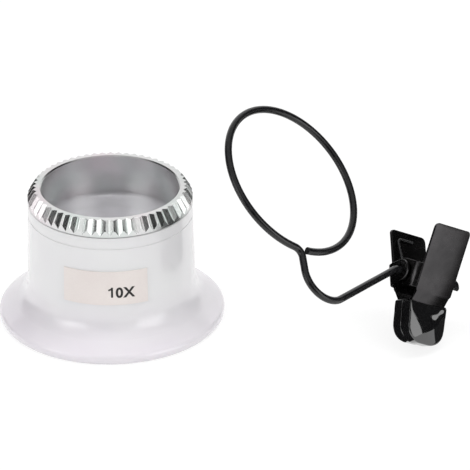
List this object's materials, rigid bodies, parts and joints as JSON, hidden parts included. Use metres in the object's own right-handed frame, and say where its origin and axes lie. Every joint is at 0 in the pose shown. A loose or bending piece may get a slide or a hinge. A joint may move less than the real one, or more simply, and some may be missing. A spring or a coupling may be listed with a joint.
{
  "type": "clip-on eyeglass loupe",
  "caption": "Watchmaker's loupe with a flared eyecup and a screw-in lens cell, and beside it the wire ring on a spring clip that carries it on a pair of glasses.",
  "frame": {"origin": "centre of the eye rim, in the plane of the table it stands on", "axes": "+Z along the optical axis to the objective, -Y to the viewer, +X to the clip beside the loupe"},
  "size_m": [0.0779, 0.0448, 0.0387],
  "materials": {
    "frosted_plastic": "fine frosted white",
    "turned_aluminium": "turned, satin",
    "lens_glass": "polished",
    "label_paper": "printed paper",
    "black_steel": "black oxide, satin",
    "spring_steel": "dark drawn wire",
    "dipped_plastic": "dipped, glossy black",
    "coated_wire": "black coated, satin"
  },
  "bodies": {
    "eyecup": {"eyecup": "frosted_plastic", "power_label": "label_paper"},
    "lens_stack": {"objective_lens": "lens_glass", "lens_spacer": "turned_aluminium", "eye_lens": "lens_glass"},
    "cell": {"lens_cell": "turned_aluminium", "retaining_ring": "turned_aluminium"},
    "clip_back": {"back_lever": "black_steel", "back_jaw_cover": "dipped_plastic", "torsion_spring": "spring_steel"},
    "clip_front": {"front_lever": "black_steel", "front_jaw_cover": "dipped_plastic"},
    "wire": {"wire_holder": "coated_wire"}
  },
  "joints": [
    {"name": "cell_lift", "type": "slide", "parent": "eyecup", "child": "lens_stack", "axis": [0, 0, 1], "range_m": [0, 0.00226]},
    {"name": "cell_turn", "type": "hinge", "parent": "lens_stack", "child": "cell", "pos_m": [0, 0, 0.018], "axis": [0, 0, 1], "range_deg": [0, 1080]},
    {"name": "holder_lift", "type": "slide", "parent": "eyecup", "child": "clip_back", "axis": [0, 0, 1], "range_m": [0, 0.05]},
    {"name": "jaw_squeeze", "type": "hinge", "parent": "clip_back", "child": "clip_front", "pos_m": [0.05164, -0.00707, 0.01025], "axis": [-0.7703, -0.4325, 0.4686], "range_deg": [0, 28], "stiffness_Nm_per_rad": 0.006, "springref_deg": -28.65, "deforming": ["torsion_spring"]},
    {"name": "ring_flip", "type": "hinge", "parent": "clip_back", "child": "wire", "pos_m": [0.05164, -0.00707, 0.01025], "axis": [0.7703, 0.4325, -0.4686], "range_deg": [-20, 260]}
  ],
  "couplings": [
    {"joint": "cell_lift", "follows": "cell_turn", "m_per_rad": 0.00011937}
  ]
}
